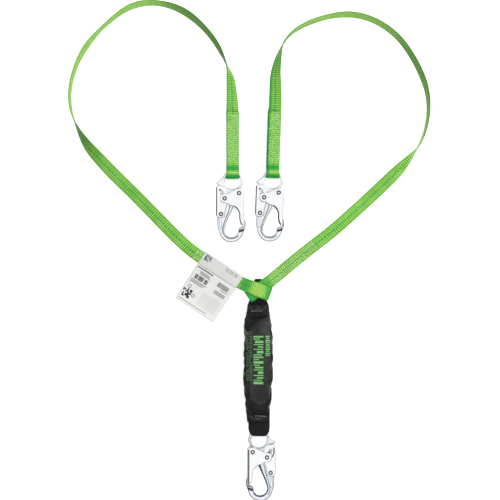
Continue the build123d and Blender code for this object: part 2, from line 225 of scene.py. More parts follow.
def strap_mesh(name, line, across, widths, dishes=0.0, tones=None):
    """A closed strap along line. across points along its width; UVs are (share of width, metres along), and
    tones holds a shade (painted shade), a bright (painted highlight, and markers of the sewn and on-edge
    stretches) and a painted edge shade for each point of the line."""
    line, across = np.asarray(line, float), unit(across)
    along = lengths_along(line)
    tangent = unit(np.gradient(line, axis=0))
    across = unit(across - (across * tangent).sum(axis=1, keepdims=True) * tangent)
    normal = np.cross(across, tangent)
    widths, dishes = (np.broadcast_to(values, len(line)) for values in (widths, dishes))
    rings, uvs = [], []
    for place, side, up, width, dish, metres in zip(line, across, normal, widths, dishes, along):
        section, shares = strap_section(width, WEB_THICKNESS, dish)
        rings.append(place + section[:, :1] * side + section[:, 1:] * up)
        uvs += [(share, metres) for share in shares]
    ring = len(rings[0])
    last = (len(line) - 1) * ring
    faces = tube_quads(len(line), ring) + [tuple(range(ring - 1, -1, -1)), tuple(range(last, last + ring))]
    strap = new_object(name, np.vstack(rings), faces, uvs)
    if tones is not None:
        for kind, values in zip(("shade", "bright", "edge_band_shade"), np.transpose(tones)):
            attribute = strap.data.attributes.new(kind, "FLOAT", "POINT")
            attribute.data.foreach_set("value", np.repeat(np.asarray(values, np.float32), ring))
    return strap


def tube_arrays(line, radius, sides=5):
    """Vertices and faces of a thin tube along a line."""
    line = np.asarray(line, float)
    tangent = unit(np.gradient(line, axis=0))
    up = np.where(abs(tangent[:, 2:]) > 0.9, [[1.0, 0, 0]], [[0, 0, 1.0]])
    side = unit(np.cross(tangent, up))
    up = np.cross(side, tangent)
    angles = np.arange(sides) * 2 * pi / sides
    verts = (line[:, None] + radius * (np.cos(angles)[None, :, None] * side[:, None]
                                       + np.sin(angles)[None, :, None] * up[:, None])).reshape(-1, 3)
    last = (len(line) - 1) * sides
    faces = tube_quads(len(line), sides) + [tuple(range(sides - 1, -1, -1)), tuple(range(last, last + sides))]
    return verts, faces


def thread_object(name, lines, radius):
    """Several threads as one object."""
    verts, faces, count = [], [], 0
    for line in lines:
        more, quads = tube_arrays(line, radius)
        verts.append(more)
        faces += [tuple(i + count for i in quad) for quad in quads]
        count += len(more)
    return new_object(name, np.vstack(verts), faces)


# ---------------------------------------------------------------- laying things on a surface

def surface_tree(*objects):
    """The shown surfaces of some pieces, to lay things on."""
    verts, faces = [], []
    for obj in objects:
        evaluated = obj.evaluated_get(bpy.context.evaluated_depsgraph_get())
        mesh = evaluated.to_mesh()
        first = len(verts)
        verts += [obj.matrix_world @ v.co for v in mesh.vertices]
        faces += [tuple(first + i for i in p.vertices) for p in mesh.polygons]
        evaluated.to_mesh_clear()
    return BVHTree.FromPolygons(verts, faces)


def drape_on(tree, x, y, lift):
    """The point of a surface under (x, y), raised by lift, or None beside it."""
    hit, _, _, _ = tree.ray_cast(Vector((x, y, 0.2)), Vector((0, 0, -1)))
    return None if hit is None else hit + Vector((0, 0, 1)) * lift


def lay_grid(tree, spots, lift, verts, faces, climb=1.0):
    """Lays rows of spots on a surface and adds them to verts, with the faces between those that land. A face
    that climbs by more than climb, in metres, is left out."""
    known = {}
    for i, row in enumerate(spots):
        for j, spot in enumerate(row):
            point = drape_on(tree, spot[0], spot[1], lift)
            if point is not None:
                known[i, j] = len(verts)
                verts.append(point)
    for i in range(len(spots) - 1):
        for j in range(len(spots[0]) - 1):
            corners = [known.get(corner) for corner in ((i, j), (i + 1, j), (i + 1, j + 1), (i, j + 1))]
            if None in corners:
                continue
            heights = [verts[corner].z for corner in corners]
            if max(heights) - min(heights) < climb:
                faces.append(tuple(corners))


# ---------------------------------------------------------------- the two legs

# spacing of the points along a leg
STRAP_STEP = 0.002

# the legs' routes in metres: sewn end at the junction, then the free stretch, flat on the floor or on edge
FLAT, EDGE = 0.0018, 0.0128
SEWN = JUNCTION.z
LEFT_ROUTE = [(0.0788, 0.0842, SEWN), (0.048, 0.0962, SEWN), (0.0171, 0.1080, SEWN), (-0.022, 0.1338, SEWN),
              (-0.066, 0.1622, SEWN), (-0.088, 0.178, 0.0090), (-0.113, 0.201, 0.0065),
              (-0.140, 0.228, 0.0035), (-0.197, 0.287, FLAT), (-0.253, 0.341, FLAT),
              (-0.312, 0.405, 0.0080), (-0.341, 0.486, EDGE), (-0.318, 0.574, EDGE),
              (-0.265, 0.640, EDGE), (-0.195, 0.690, EDGE), (-0.109, 0.680, EDGE),
              (-0.041, 0.622, EDGE), (-0.003, 0.549, 0.0105), (0.001, 0.500, 0.0088)]
RIGHT_ROUTE = [(0.0338, 0.0785, SEWN), (0.058, 0.0955, SEWN), (0.0865, 0.1170, SEWN), (0.1305, 0.1545, SEWN),
               (0.1700, 0.1855, SEWN), (0.203, 0.2105, 0.0075), (0.234, 0.237, 0.0035),
               (0.293, 0.291, FLAT), (0.350, 0.345, FLAT), (0.397, 0.399, 0.0085),
               (0.411, 0.484, EDGE), (0.384, 0.560, EDGE), (0.335, 0.629, EDGE), (0.259, 0.666, EDGE),
               (0.177, 0.655, EDGE), (0.108, 0.618, EDGE), (0.089, 0.551, 0.0105), (0.090, 0.505, 0.0088)]

# how far each strap leans, in degrees from flat, at shares of its length from the junction
LEFT_LEAN = [(0.0, 0), (0.315, 0), (0.355, 25), (0.387, 60), (0.412, 84), (0.438, 94), (0.465, 96),
             (0.50, 100), (0.54, 104), (0.575, 94), (0.60, 100), (0.635, 109), (0.675, 104), (0.72, 115),
             (0.76, 111), (0.798, 109), (0.824, 90), (0.842, 57), (0.866, 41), (0.888, 24), (0.908, 8),
             (0.92, 0), (1.0, 0)]
RIGHT_LEAN = [(0.0, 0), (0.275, 0), (0.32, 22), (0.345, 55), (0.372, 88), (0.40, 94), (0.44, 100),
              (0.49, 105), (0.55, 106), (0.61, 108), (0.66, 108), (0.70, 104), (0.745, 101), (0.780, 90),
              (0.793, 73), (0.807, 56), (0.823, 44), (0.85, 22), (0.875, 8), (0.90, 0), (1.0, 0)]
# how much darker the strap is where it turns from the light, at shares of its length: 0 none, -1 most
LEFT_DUSK = [(0.15, 0), (0.18, -0.12), (0.33, -0.15), (0.358, -0.40), (0.378, -0.85), (0.405, -1.0),
             (0.418, -0.1), (0.655, 0), (0.69, -0.55), (0.73, -0.85), (0.82, -1), (0.834, -0.1),
             (0.89, -0.15)]
RIGHT_DUSK = [(0.37, 0), (0.40, -0.3), (0.443, -0.65), (0.484, -0.8), (0.53, -0.85), (0.568, -0.6),
              (0.605, -0.35), (0.65, -0.15), (0.73, -0.1), (0.764, -0.3), (0.79, -0.55), (0.83, -0.2),
              (0.88, -0.1)]


def leg_points(side, route):
    """The whole route of one leg, closed off by the sewn loop at its hook."""
    turn = radians(HOOK_TURNS[side])
    to_leg = Vector((-sin(turn), cos(turn), 0))
    hook_axis = Vector(joints[f"{side}_hook_swing"]["pos_m"])
    hook = [hook_axis + to_leg * reach for reach in (HOOK_END, HOOK_END / 2, -HOOK_LOOP_RADIUS)]
    return [*[Vector(point) for point in route], *hook]


def nurbs_line(points):
    """Points along the smooth NURBS curve that has these control points."""
    curve = bpy.data.curves.new("route", "CURVE")
    curve.dimensions = "3D"
    spline = curve.splines.new("NURBS")
    spline.points.add(len(points) - 1)
    for control, point in zip(spline.points, points):
        control.co = (*point, 1)
    spline.order_u = 3
    spline.use_endpoint_u = True
    spline.resolution_u = 24
    route = bpy.data.objects.new("route", curve)
    mesh = bpy.data.meshes.new_from_object(route)
    line = np.array([v.co for v in mesh.vertices])
    bpy.data.objects.remove(route)
    bpy.data.curves.remove(curve)
    bpy.data.meshes.remove(mesh)
    return line


def loop_half(reach, radius, flat, neck, closed=WEB_THICKNESS / 2 + 0.0001):
    """Half the gap between the two layers of a sewn loop, at a distance from its bight."""
    if reach < flat:
        return radius
    share = min((reach - flat) / (neck - flat), 1)
    return radius + (closed - radius) * share


def loop_offsets(radius, flat, neck, length, spacing=0.0015):
    """(distance from the bight, height) along one sewn loop, from the raw end on top round to the lower
    layer."""
    reaches = np.arange(radius, length, spacing)
    upper = [(reach, loop_half(reach, radius, flat, neck)) for reach in reaches[::-1]]
    angles = np.linspace(pi / 2, -pi / 2, 15)[1:-1]
    bight = [(radius * (1 - cos(angle)), radius * sin(angle)) for angle in angles]
    lower = [(reach, -loop_half(reach, radius, flat, neck)) for reach in reaches]
    return upper + bight + lower


def make_leg(side, route, lean, dusk):
    """One leg as a single strap: doubled and sewn at both ends, turned on edge in between."""
    name = f"{side}_leg_webbing"
    base = nurbs_line(leg_points(side, route))
    along, base = resample(base, STRAP_STEP)
    total = along[-1]
    tangent = unit(np.gradient(base, axis=0))
    way = 1 if side == "left" else -1
    angle = np.interp(along / total, *np.transpose(lean))
    wander = np.array([noise.noise((place * 14, 3.1 * way, 0.4)) for place in along])
    angle = radians(1) * (soften(angle, 25) + 4 * wander * (angle > 20))
    base_across = (unit(np.cross(tangent, [0, 0, 1])) * np.cos(angle)[:, None]
                   + np.array([[0, 0, way]]) * np.sin(angle)[:, None])
    base_normal = np.cross(base_across, tangent)
    lowest = WEB_WIDTH / 2 * np.abs(np.sin(angle)) + 1.5 * WEB_THICKNESS * np.abs(np.cos(angle)) + FLOOR_GAP
    base[:, 2] = np.maximum(soften(np.maximum(base[:, 2], lowest), 30), lowest)

    line, across, widths, tones = [], [], [], []

    def put(place, height, width, tone, shift=(0, 0, 0)):
        """One point of the strap, at a place along the route and a height over it."""
        here, side_way, up = read_at(place, along, base, base_across, base_normal)
        line.append(here + up * height + side_way * shift[0] + unit(base[-1] - base[-2]) * shift[1])
        across.append(side_way)
        widths.append(WEB_WIDTH * width)
        tones.append(tone)

    # the junction's fold gets painted shade and a painted highlight
    first = loop_offsets(LOOP_HALVES[side], LOOP_REACH + 0.021, LOOP_REACH + 0.036, JUNCTION_END)
    for reach, height in first:
        spread = np.interp(reach, [0, 0.03, 0.06, 0.075], [1, 0.75, 0.1, 0])
        put(reach, height, 1 + spread * np.interp(height, [-0.002, 0.002], [-0.16, SPREADS[side]]),
            (np.interp(reach, *KNOT_SHADES[side]), np.interp(reach, *KNOT_LIGHT[side]), 0))
    # the free stretch gets painted shade where it turns from the light, painted light where it stands on
    # edge, and the painted edge shade near the hook
    for place in np.arange(JUNCTION_END, total - HOOK_END - HOOK_LOOP_RADIUS, STRAP_STEP):
        on_edge = np.interp(np.interp(place, along, angle), [0.9, 1.3], [0.0, ON_EDGE_TONE])
        put(place, -WEB_THICKNESS / 2, 1, (np.interp(place / total, *np.transpose(dusk)), on_edge,
                                           EDGE_BAND_SHADE[side] * (place > EDGE_BAND_SHADE_START * total)))
    last = loop_offsets(HOOK_LOOP_RADIUS, HOOK_LOOP_RADIUS + 0.003, HOOK_LOOP_RADIUS + HOOK_LOOP_NECK,
                        HOOK_END + HOOK_LOOP_RADIUS)
    # the hook's loop gets painted shade on its bight and slopes and a painted highlight on its crest, and its
    # lower layer painted shadow
    for reach, height in last[::-1]:
        tone = (np.interp(reach, *LOOP_SHADE_BANDS), np.interp(reach, *LOOP_LIGHT), EDGE_BAND_SHADE[side])
        put(total - reach, height, 1 + np.interp(reach, [0, 0.012, 0.03, HOOK_END], [0.10, 0.03, 0.01, 0.03]),
            tone if height > 0 else (UNDER_TONE, 0, 0),
            (STRAY[side] * min(1, reach / HOOK_LOOP_NECK) * (height < 0),
             max(0, 1 - reach / HOOK_LOOP_NECK) * LOOP_STRETCH))
    _, line, across, widths, tones = resample(soften(line, 3), STRAP_STEP, across, widths, tones)
    strap = strap_mesh(name + "_strap", line, across, soften(widths[:, 0], 4), tones=soften(tones, 1))
    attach(strap, ROOT)
    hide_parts(name)
    paint(strap, green_webbing_material())
    stitch_rows(f"{side}_hook_stitching", base, base_across, base_normal, total - HOOK_END,
                total - STITCH_END)
    stitch_rows(f"{side}_junction_stitching", base, base_across, base_normal, STITCH_START[side],
                JUNCTION_END - RAW_END)


# zigzag stitches: how far they stop from the hook's end and from the raw end at the junction, the pitch of
# each row, and the rows' spacing and swing and the length of the rows across as shares of the webbing's width
STITCH_END, RAW_END = 0.0262, 0.006
STITCH_PITCHES = (0.0051, 0.0045, 0.0055, 0.0048)
STITCH_SPACING, STITCH_SWING, STITCH_ACROSS = 0.215, 0.100, 0.86
THREAD_RADIUS = 0.0005


def stitch_rows(name, base, across, normal, low, high):
    """Rows of zigzag thread on the upper layer of a sewn end, and a row across at both its ends."""
    along = lengths_along(base)

    def spot(place, offset, lift):
        here, side, up = read_at(place, along, base, across, normal)
        return here + side * offset + up * (WEB_THICKNESS + lift)

    lines = []
    for row, pitch in enumerate(STITCH_PITCHES):
        offset = (row - (len(STITCH_PITCHES) - 1) / 2) * WEB_WIDTH * STITCH_SPACING
        steps = int((high - low) / pitch) * 8
        line = []
        for k in range(steps):
            turn = k / 8 + 0.31 * row
            zig = abs(turn % 1 - 0.5) * 4 - 1
            place = low + (high - low) * k / steps
            shift = 0.0005 * noise.noise((place * 700, row * 7.0, low))
            line.append(spot(place, offset + zig * WEB_WIDTH * STITCH_SWING + shift,
                             0.0005 - 0.0008 * abs(zig) ** 4))
        lines.append(line)
    for place in (low + 0.0008, high - 0.0012):
        lines.append([spot(place + 0.0006 * (k % 2), (k / 36 - 0.5) * WEB_WIDTH * STITCH_ACROSS,
                           0.0002 + 0.0003 * (k % 2)) for k in range(37)])
    threads = thread_object(name, lines, THREAD_RADIUS)
    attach(threads, ROOT)
    paint(threads, thread_material())


# ---------------------------------------------------------------- materials

def srgb(r, g, b):
    """Linear colour from 0-255 screen values."""
    channels = [c / 255 for c in (r, g, b)]
    return (*[c / 12.92 if c <= 0.04045 else ((c + 0.055) / 1.055) ** 2.4 for c in channels], 1)


class Nodes:
    """Short names for building one material's nodes."""

    def __init__(self, name):
        self.material = bpy.data.materials.new(name)
        self.material.use_nodes = True
        self.tree = self.material.node_tree
        self.shader = self.tree.nodes["Principled BSDF"]

    def add(self, kind, inputs=None, **settings):
        node = self.tree.nodes.new("ShaderNode" + kind)
        for key, value in settings.items():
            setattr(node, key, value)
        for key, value in (inputs or {}).items():
            self.feed(node.inputs[key], value)
        return node

    def feed(self, socket, value):
        if isinstance(value, bpy.types.NodeSocket):
            self.tree.links.new(value, socket)
        else:
            socket.default_value = value

    def math(self, operation, a, b=0.0, c=0.0, clamp=False):
        node = self.add("Math", operation=operation, use_clamp=clamp)
        for socket, value in zip(node.inputs, (a, b, c)):
            self.feed(socket, value)
        return node.outputs[0]

    def times(self, a, b, clamp=False):
        return self.math("MULTIPLY", a, b, clamp=clamp)

    def mix(self, share, a, b):
        node = self.add("Mix", data_type="RGBA")
        for socket, value in ((0, share), (6, a), (7, b)):
            self.feed(node.inputs[socket], value)
        return node.outputs[2]

    def blend(self, soft, first, second, low=0.3, high=0.7):
        """Two tones mottled by a noise."""
        return self.mix(self.remap(soft, low, high), srgb(*first), srgb(*second))

    def tint(self, colour, mask, strength, tone):
        """The colour moved towards a tone, by up to strength where the mask is."""
        return self.mix(self.times(mask, strength, clamp=True), colour, srgb(*tone))

    def noise(self, scale, detail=3.0, roughness=0.5):
        node = self.add("TexNoise", {"Scale": scale, "Detail": detail, "Roughness": roughness})
        self.feed(node.inputs["Vector"], self.add("TexCoord").outputs["Object"])
        return node.outputs["Fac"]

    def attribute(self, name):
        return self.add("Attribute", attribute_name=name).outputs["Fac"]

    def uv(self):
        split = self.add("SeparateXYZ", {0: self.add("TexCoord").outputs["UV"]})
        return split.outputs[0], split.outputs[1]

    def remap(self, value, low, high, out_low=0.0, out_high=1.0):
        node = self.add("MapRange", clamp=True)
        for socket, number in zip(node.inputs, (value, low, high, out_low, out_high)):
            self.feed(socket, number)
        return node.outputs[0]

    def bump(self, height, distance, strength=1.0):
        node = self.add("Bump", {"Height": height, "Distance": distance, "Strength": strength})
        return node.outputs[0]

    def set(self, **inputs):
        for key, value in inputs.items():
            self.feed(self.shader.inputs[key.replace("_", " ")], value)


def paint(obj, material):
    """The material in place of whatever the piece had."""
    obj.data.materials.clear()
    obj.data.materials.append(material)


def ribs(n, u, v, pitch, slant):
    """Height of the webbing's cross ribs, leaning one way on each side of the middle."""
    lean = n.times(n.math("ABSOLUTE", n.math("SUBTRACT", u, 0.5)), slant)
    turns = n.times(n.math("ADD", v, lean), 2 * pi / pitch)
    return n.math("MULTIPLY_ADD", n.math("SINE", turns), 0.5, 0.5)


def warp_lines(n, u, count):
    """Height of the yarns that run along the webbing."""
    return n.math("MULTIPLY_ADD", n.math("COSINE", n.times(u, 2 * pi * count)), 0.5, 0.5)


# the cross ribs and yarns of both webbings, and the dashes of the tracer along the green one's middle
RIB_PITCH, RIB_SLANT, YARNS = 0.0045, 0.0012, 9
BLACK_RIB_PITCH, BLACK_RIB_SLANT, BLACK_YARNS = 0.0022, 0.004, 20
TRACER_PITCH = 0.0078


@cache
def green_webbing_material():
    n = Nodes("green_webbing")
    u, v = n.uv()
    bright = n.attribute("bright")
    shade = n.attribute("shade")
    from_middle = n.math("ABSOLUTE", n.math("SUBTRACT", u, 0.5))
    soft = n.noise(42, 3)
    fine = ribs(n, u, v, RIB_PITCH / 3, RIB_SLANT)
    warp = n.math("MULTIPLY_ADD", warp_lines(n, u, YARNS), 0.25, 0.75)
    weave = n.times(ribs(n, u, v, RIB_PITCH, RIB_SLANT), warp)
    raised = n.times(n.remap(weave, 0.10, 0.70), n.remap(from_middle, 0.46, 0.37))
    colour = n.mix(raised, n.blend(soft, (62, 144, 40), (84, 158, 50)),
                   n.blend(soft, (130, 189, 74), (158, 204, 98)))
    # paler where the strap stands on edge: painted light on its standing face
    on_edge = n.remap(bright, 0.0, ON_EDGE_TONE)
    colour = n.tint(colour, on_edge, 0.40, (156, 200, 102))
    dash = n.remap(n.math("SINE", n.times(v, 2 * pi / TRACER_PITCH)), -0.75, -0.40)
    tracer = n.times(n.times(n.remap(from_middle, 0.060, 0.044), dash),
                     n.times(n.remap(bright, 0.15, 0.02), n.remap(on_edge, 0.8, 0.2)))
    colour = n.tint(colour, tracer, 0.80, (18, 124, 92))
    rim = n.times(n.remap(from_middle, 0.40, 0.44), n.remap(from_middle, 0.485, 0.465))
    colour = n.tint(colour, rim, 0.5, (126, 190, 60))
    # darker green at the outermost edges: painted shade where they round away
    colour = n.tint(colour, n.remap(from_middle, 0.465, 0.49), 0.55, (18, 118, 24))
    grain = n.noise(400, 1)
    sewn = n.times(n.remap(bright, 0.02, 0.15), n.remap(bright, 0.40, 0.25))
    colour = n.tint(colour, n.times(sewn, n.remap(grain, 0.50, 0.42)), 0.60, (66, 168, 54))
    colour = n.tint(colour, n.times(sewn, n.remap(grain, 0.54, 0.62)), 0.35, (200, 222, 150))
    # a painted highlight in pale lime on the junction's fold and on the loop's crest
    colour = n.tint(colour, n.remap(bright, 0.22, 1.0), 0.62, (180, 210, 104))
    # painted shade as a deep green band along one edge near the hook
    fold = n.times(n.attribute("edge_band_shade"), n.remap(u, 0.70, 0.84))
    colour = n.tint(colour, fold, 0.75, (20, 150, 62))
    # painted shade: deep green for a positive shade, and dark olive for a negative one, on stretches turned
    # from the light and on a loop's lower layer
    colour = n.tint(colour, shade, 0.90, (14, 142, 56))
    colour = n.tint(colour, shade, -0.80, (34, 88, 18))
    fuzz = n.noise(2600, 2, 0.7)
    height = n.math("ADD", n.math("MULTIPLY_ADD", fine, 0.35, weave), n.times(fuzz, 0.25))
    n.set(Base_Color=colour, Roughness=n.remap(weave, 0, 1, 0.62, 0.46), Normal=n.bump(height, 0.0006, 0.8),
          Specular_IOR_Level=0.08)
    return n.material


@cache
def thread_material():
    n = Nodes("stitching_thread")
    colour = n.blend(n.noise(400, 1), (112, 184, 72), (208, 226, 168), 0.42, 0.58)
    n.set(Base_Color=colour, Roughness=0.5, Normal=n.bump(n.noise(3200, 1), 0.0002, 0.5))
    return n.material


@cache
def black_webbing_material():
    n = Nodes("black_webbing")
    u, v = n.uv()
    warp = n.math("MULTIPLY_ADD", warp_lines(n, u, BLACK_YARNS), 0.5, 0.5)
    weave = n.times(ribs(n, u, v, BLACK_RIB_PITCH, BLACK_RIB_SLANT), warp)
    n.set(Base_Color=n.mix(weave, srgb(6, 6, 7), srgb(28, 29, 30)), Roughness=0.62,
          Normal=n.bump(weave, 0.0004, 0.7), Sheen_Weight=0.03, Specular_IOR_Level=0.12)
    return n.material


def cover_material(name, low_tone, high_tone):
    """Coated black nylon: soft creases, fine grain, and a tone mottled between the two given ones."""
    n = Nodes(name)
    creases = n.noise(85, 4, 0.62)
    height = n.math("MULTIPLY_ADD", n.noise(1900, 2, 0.6), 0.05, creases)
    n.set(Base_Color=n.blend(n.noise(26, 3, 0.55), low_tone, high_tone),
          Roughness=n.remap(creases, 0.3, 0.7, 0.36, 0.52), Normal=n.bump(height, 0.0022, 0.7),
          Specular_IOR_Level=0.16)
    return n.material


def print_and_shade_material(name, colour, worn):
    """Ink or thread, worn in places; the hooks' marks of painted shade use it too."""
    n = Nodes(name)
    n.set(Base_Color=n.blend(n.noise(900, 3, 0.7), worn, colour, 0.3, 0.62), Roughness=0.5,
          Normal=n.bump(n.noise(1500), 0.0001, 0.4))
    return n.material


def label_material(name, low_tone, high_tone):
    """Vinyl with slow waves and a fine grain."""
    n = Nodes(name)
    height = n.math("MULTIPLY_ADD", n.noise(1400, 2), 0.03, n.noise(30, 2))
    n.set(Base_Color=n.blend(n.noise(12, 2), low_tone, high_tone),
          Roughness=n.remap(n.noise(200, 3), 0.3, 0.7, 0.32, 0.46), Normal=n.bump(height, 0.0015, 0.4),
          Coat_Weight=0.15, Coat_Roughness=0.3)
    return n.material


def steel_material(name, light, dark, roughness, grain, bevel, rim, edge_shade_amount=1.0):
    """Zinc-plated steel with painted shade on its rounded edges, soft mottling and fine scratches. rim is how
    rounded the darkest part of an edge is, and there is half as much painted edge shade near the eye."""
    n = Nodes(name)
    mottle = n.noise(140, 4, 0.6)
    scratch = n.noise(grain, 3, 0.7)
    rounded = n.add("Bevel", {"Radius": bevel}, samples=8)
    flatness = n.add("VectorMath", {0: rounded.outputs[0], 1: n.add("NewGeometry").outputs["True Normal"]},
                     operation="DOT_PRODUCT").outputs["Value"]
    # painted shade on the rounded edges, standing in for their shade and dark reflections
    band = n.times(n.remap(flatness, 0.998, 0.972), n.remap(flatness, rim - 0.06, rim, 0.25, 1.0))
    height_share = n.add("SeparateXYZ", {0: n.add("TexCoord").outputs["Generated"]}).outputs[1]
    near_eye = n.remap(height_share, 0.66, 0.78, edge_shade_amount, edge_shade_amount * 0.5)
    edge_shade_mask = n.times(n.times(band, near_eye), n.remap(n.noise(60, 3), 0.25, 0.6, 0.8, 1.0))
    rough = n.math("ADD", n.remap(mottle, 0.3, 0.7, roughness - 0.05, roughness + 0.06),
                   n.times(n.remap(scratch, 0.45, 0.7), 0.07))
    bump = n.add("Bump", {"Height": n.math("MULTIPLY_ADD", scratch, 0.2, mottle), "Distance": 0.0002,
                          "Strength": 0.35, "Normal": rounded.outputs[0]})
    n.set(Base_Color=n.mix(edge_shade_mask, n.blend(mottle, light, dark), srgb(18, 25, 34)), Metallic=0.9,
          Roughness=rough, Normal=bump.outputs[0])
    return n.material


def rivet_material():
    """Peened rivet heads: painted shade on the rim round a painted highlight in the dimple."""
    n = Nodes("peened_rivet")
    centred = n.add("VectorMath", {0: n.add("TexCoord").outputs["Generated"], 1: (0.5, 0.5, 0.5)},
                    operation="SUBTRACT")
    flat = n.add("VectorMath", {0: centred.outputs[0], 1: (2.0, 2.0, 0.0)}, operation="MULTIPLY")
    radius = n.add("VectorMath", {0: flat.outputs[0]}, operation="LENGTH").outputs["Value"]
    # painted shade on the rim and a painted highlight in the dimple
    rim = n.times(n.remap(radius, 0.34, 0.42), n.remap(radius, 1.02, 0.90, 0.55, 1.0))
    mottle = n.noise(420, 3)
    bright = n.blend(mottle, (252, 253, 254), (232, 235, 238))
    rim_shade = n.blend(mottle, (58, 66, 74), (102, 108, 116))
    n.set(Base_Color=n.mix(rim, bright, rim_shade), Metallic=0.9, Roughness=n.remap(mottle, 0.3, 0.7, 0.24, 0.36),
          Normal=n.bump(mottle, 0.0002, 0.4))
    return n.material


# ---------------------------------------------------------------- hooks

# light tone, dark tone, roughness, grain, bevel, rim, and the amount of painted shade on the edges
STEELS = {"forged_zinc_steel": ((238, 240, 243), (216, 221, 226), 0.34, 420, 0.0050, 0.84, 0.72),
          # a slightly darker steel for the harness hook's body, with the full amount of painted edge shade
          "darker_zinc_steel": ((232, 235, 239), (204, 210, 217), 0.34, 420, 0.0050, 0.84),
          "pressed_zinc_steel": ((244, 245, 246), (230, 233, 236), 0.30, 900, 0.0024, 0.60),
          "spring_wire": ((150, 152, 156), (110, 112, 118), 0.3, 2500, 0.0001, 0.6)}


def paint_hooks():
    """The hooks' CAD pieces keep their shape and get plated steel."""
    steels = {name: steel_material(name, *looks) for name, looks in STEELS.items()}
    rivet = rivet_material()
    for name, node in frame["nodes"].items():
        if "_hook_" not in name:
            continue
        if name.endswith("spring"):
            paint(node, steels["spring_wire"])
        elif name.endswith(("rivet", "lock_pin")):
            paint(node, rivet)
        elif name.endswith("body"):
            paint(node, steels["darker_zinc_steel" if name.startswith("harness") else "forged_zinc_steel"])
        else:
            paint(node, steels["pressed_zinc_steel"])


# painted shade on the hooks, in folds, along edges, round the forged ridge and in the latch seat: name, body,
# piece, width, tone, and points in millimetres from the eye's middle
BOWL = [(-17.9, -97), (-17.9, -103), (-15.5, -109), (-9, -115), (-2.5, -116.4), (5, -115.2), (11, -110)]
OUTER_BOWL = [(-20.6, -97), (-20.4, -105), (-17.5, -111), (-10.5, -117), (-2.5, -118.6), (6, -117),
              (12, -112)]
GATE_EDGE = [(3.6, -51.0), (8.4, -55.4), (12.2, -59.6), (14.5, -67.3), (14.5, -77), (17.0, -86.4),
             (19.6, -90)]
COMMON_MARKS = [
    ("body_recess_shade", "swivel", "body", 0.8, "pale",
     [(-22.8, -79), (-22.6, -97), (-24.2, -99.5), (-26.6, -98), (-27.4, -90), (-27.4, -79), (-25, -77.4)]),
    ("latch_seat_shadow", "swivel", "body", 5.2, "seat", [(12.6, -103.2), (24.2, -99.6)])]
LEG_MARKS = [
    ("spine_shade", "swivel", "body", 1.9, "half",
     [(-5, -48), (-8.4, -62), (-12.5, -73), (-17.6, -86), *OUTER_BOWL]),
    ("gate_edge_shade", "gate_assembly", "gate", 2.7, "dark", GATE_EDGE),
    ("lever_wall_shade", "lever_assembly", "lock_lever", 2.0, "dark", [(-32.8, -12.5), (-32.8, -69.5)]),
    ("lever_window_shade", "lever_assembly", "lock_lever", 2.5, "dark",
     [(-28, -17), (-24.5, -17.4), (-22.4, -20), (-21.4, -24), (-20.6, -28)])]
HARNESS_MARKS = [
    ("spine_shade", "swivel", "body", 2.8, "dark",
     [(-1.4, -51), (-7.2, -68), (-13, -81), (-16.6, -92), *BOWL]),
    ("outer_spine_shade", "swivel", "body", 1.4, "half",
     [(-9.5, -50), (-13, -66), (-18.6, -84), (-22.4, -96), (-22, -106), (-18, -114)]),
    ("gate_wall_shade", "gate_assembly", "gate", 2.6, "dark", [(21.2, -19), (21.2, -91.5)]),
    ("gate_wall_half_shade", "gate_assembly", "gate", 0.9, "half", [(23.4, -19), (23.4, -91.5)]),
    ("lever_window_shade", "lever_assembly", "lock_lever", 2.5, "dark",
     [(-30.2, -15.5), (-30.9, -23), (-30, -29), (-26.6, -35.4)]),
    ("shoulder_shade", "swivel", "body", 2.0, "half", [(-18.6, -9.9), (-24, -8.4), (-30.6, -7.6)]),
    ("eye_side_shade", "swivel", "body", 2.0, "half", [(21.4, 7), (22.0, 0), (21.6, -8)]),
    ("neck_shade", "swivel", "body", 2.0, "half", [(20, -11), (16.4, -10.6), (14, -14)])]
MARK_STEP = 0.0008
MARK_LIFT = 0.00015
MARK_CLIMB = 0.0015


def mark_hooks():
    """Painted shade in the folds and round the forged ridge, and a painted shadow in the latch seat across
    each nose.
    """
    # tones of painted shade, and the painted shadow in the latch seat
    colours = {"dark": print_and_shade_material("fold_shade", (22, 30, 38), (52, 62, 70)),
               "half": print_and_shade_material("ridge_shade", (52, 66, 76), (92, 104, 114)),
               "pale": print_and_shade_material("recess_shade", (110, 120, 130), (150, 158, 166)),
               "seat": print_and_shade_material("latch_seat_shadow", (22, 24, 27), (54, 58, 63))}
    for side, turned_over, marks in (("left", 1, LEG_MARKS), ("right", 1, LEG_MARKS),
                                     ("harness", -1, HARNESS_MARKS)):
        turn = radians(HOOK_TURNS[side])
        across = Vector((cos(turn), sin(turn), 0))
        up = Vector((-sin(turn), cos(turn), 0))
        eye = Vector(joints[f"{side}_hook_swing"]["pos_m"]) - up * EYE_RADIUS
        for name, body, piece, width, tone, points in marks + COMMON_MARKS:
            _, path = resample(np.array(points, float) / 1000, MARK_STEP)
            path = soften(path, 12)
            heading = unit(np.gradient(path, axis=0))
            aside = np.stack([-heading[:, 1], heading[:, 0]], axis=1) * width / 1000
            spots = [[eye + across * (x * turned_over) + up * y
                      for x, y in (spot + way * (j / 3 - 0.5) for j in range(4))]
                     for spot, way in zip(path, aside)]
            tree = surface_tree(frame["nodes"][f"{side}_hook_{piece}"])
            verts, faces = [], []
            lay_grid(tree, spots, MARK_LIFT, verts, faces, MARK_CLIMB)
            mark = new_object(f"{side}_hook_{name}", verts, faces)
            paint(mark, colours[tone])
            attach(mark, f"{side}_hook_{body}")


# ---------------------------------------------------------------- absorber

